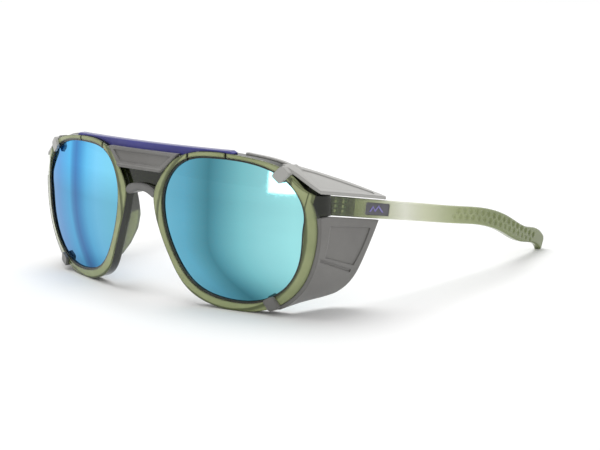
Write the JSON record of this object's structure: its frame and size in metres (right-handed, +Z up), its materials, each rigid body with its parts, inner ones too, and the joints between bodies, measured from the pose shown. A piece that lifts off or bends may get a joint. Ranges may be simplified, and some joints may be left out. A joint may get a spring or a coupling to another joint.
{
  "type": "glacier glasses",
  "caption": "Wrap-around glacier sunglasses with mirrored lenses, folding temples, a brow bar, a nose shield and hooked side shields.",
  "frame": {"origin": "under the middle of the whole object, on the plane the rims and temple tips rest on", "axes": "+Z is up, the lenses face -Y, the temples run back along +Y, and +X is the wearer's left"},
  "size_m": [0.1404, 0.163, 0.0541],
  "materials": {
    "frame": "translucent olive green moulding, satin",
    "lens": "dark lens with a turquoise and blue mirror coating",
    "brow": "indigo elastomer",
    "shield": "soft grey elastomer",
    "clip": "dark translucent elastomer",
    "hinge": "plain metal leaves",
    "screw": "plain steel screw",
    "badge": "grey badge plate",
    "mark": "indigo inlay"
  },
  "bodies": {
    "front": {"bridge_clip": "clip", "brow_bar": "brow", "front_frame": "frame", "hinge_front_leaf_left": "hinge", "hinge_front_leaf_right": "hinge", "hinge_screw_left": "screw", "hinge_screw_right": "screw", "lens_left": "lens", "lens_right": "lens", "nose_shield": "shield", "side_shield_left": "shield", "side_shield_right": "shield"},
    "left_temple": {"badge_left": "badge", "badge_mark_left": "mark", "hinge_temple_leaf_left": "hinge", "temple_left": "frame"},
    "right_temple": {"badge_mark_right": "mark", "badge_right": "badge", "hinge_temple_leaf_right": "hinge", "temple_right": "frame"}
  },
  "joints": [
    {"name": "left_fold", "type": "hinge", "parent": "front", "child": "left_temple", "pos_m": [0.0638, -0.0601, 0.0374], "axis": [0, 0, 1], "range_deg": [0, 82]},
    {"name": "right_fold", "type": "hinge", "parent": "front", "child": "right_temple", "pos_m": [-0.0638, -0.0601, 0.0374], "axis": [0, 0, -1], "range_deg": [0, 70]}
  ]
}
